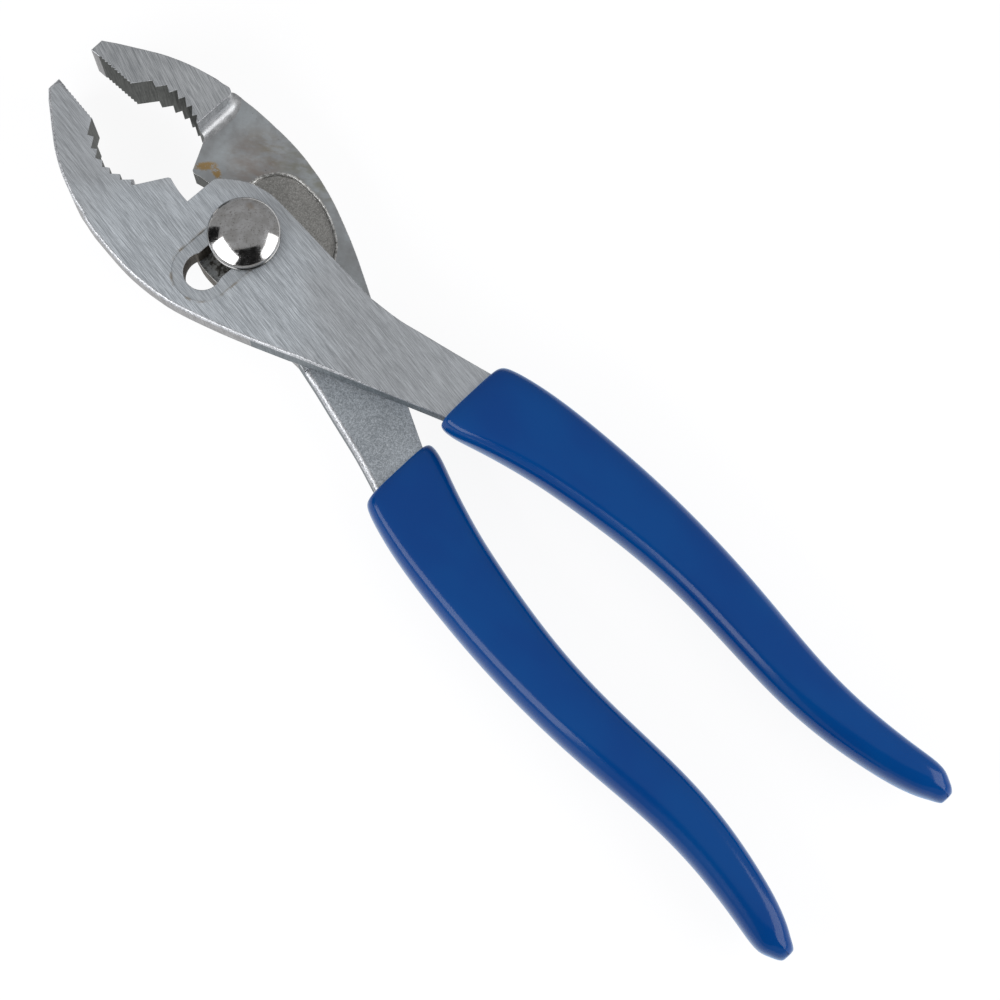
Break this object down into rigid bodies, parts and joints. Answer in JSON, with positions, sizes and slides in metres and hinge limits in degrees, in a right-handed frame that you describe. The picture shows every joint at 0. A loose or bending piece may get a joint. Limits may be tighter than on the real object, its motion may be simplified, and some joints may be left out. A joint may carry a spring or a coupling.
{
  "type": "slip joint pliers",
  "caption": "Slip joint pliers with fine and coarse jaw teeth, a wire cutting notch, a two-position pivot bolt and dipped grips.",
  "frame": {"origin": "on the pivot axis, at the outer face of the nut on the back of the tool", "axes": "+Z along the pivot bolt from the nut towards its domed head, +Y from the pivot towards the jaws, +X to the right of someone who looks at the domed head with the jaws up"},
  "size_m": [0.0463, 0.2051, 0.0184],
  "materials": {
    "ground_steel": "satin ground along the tool",
    "blasted_steel": "satin ground on the jaw, blasted on the neck",
    "bright_plating": "bright, lightly scratched",
    "blue_vinyl": "glossy dipped vinyl"
  },
  "bodies": {
    "front": {"front_half": "ground_steel", "front_grip": "blue_vinyl"},
    "pivot": {"pivot_bolt": "bright_plating", "pivot_nut": "bright_plating"},
    "rear": {"rear_half": "blasted_steel", "rear_grip": "blue_vinyl"}
  },
  "joints": [
    {"name": "slot_shift", "type": "slide", "parent": "front", "child": "pivot", "axis": [-0.999, 0.0454, 0], "range_m": [0, 0.0077]},
    {"name": "jaw_hinge", "type": "hinge", "parent": "pivot", "child": "rear", "pos_m": [0, 0, 0.0084], "axis": [0, 0, -1], "range_deg": [0, 40]}
  ]
}
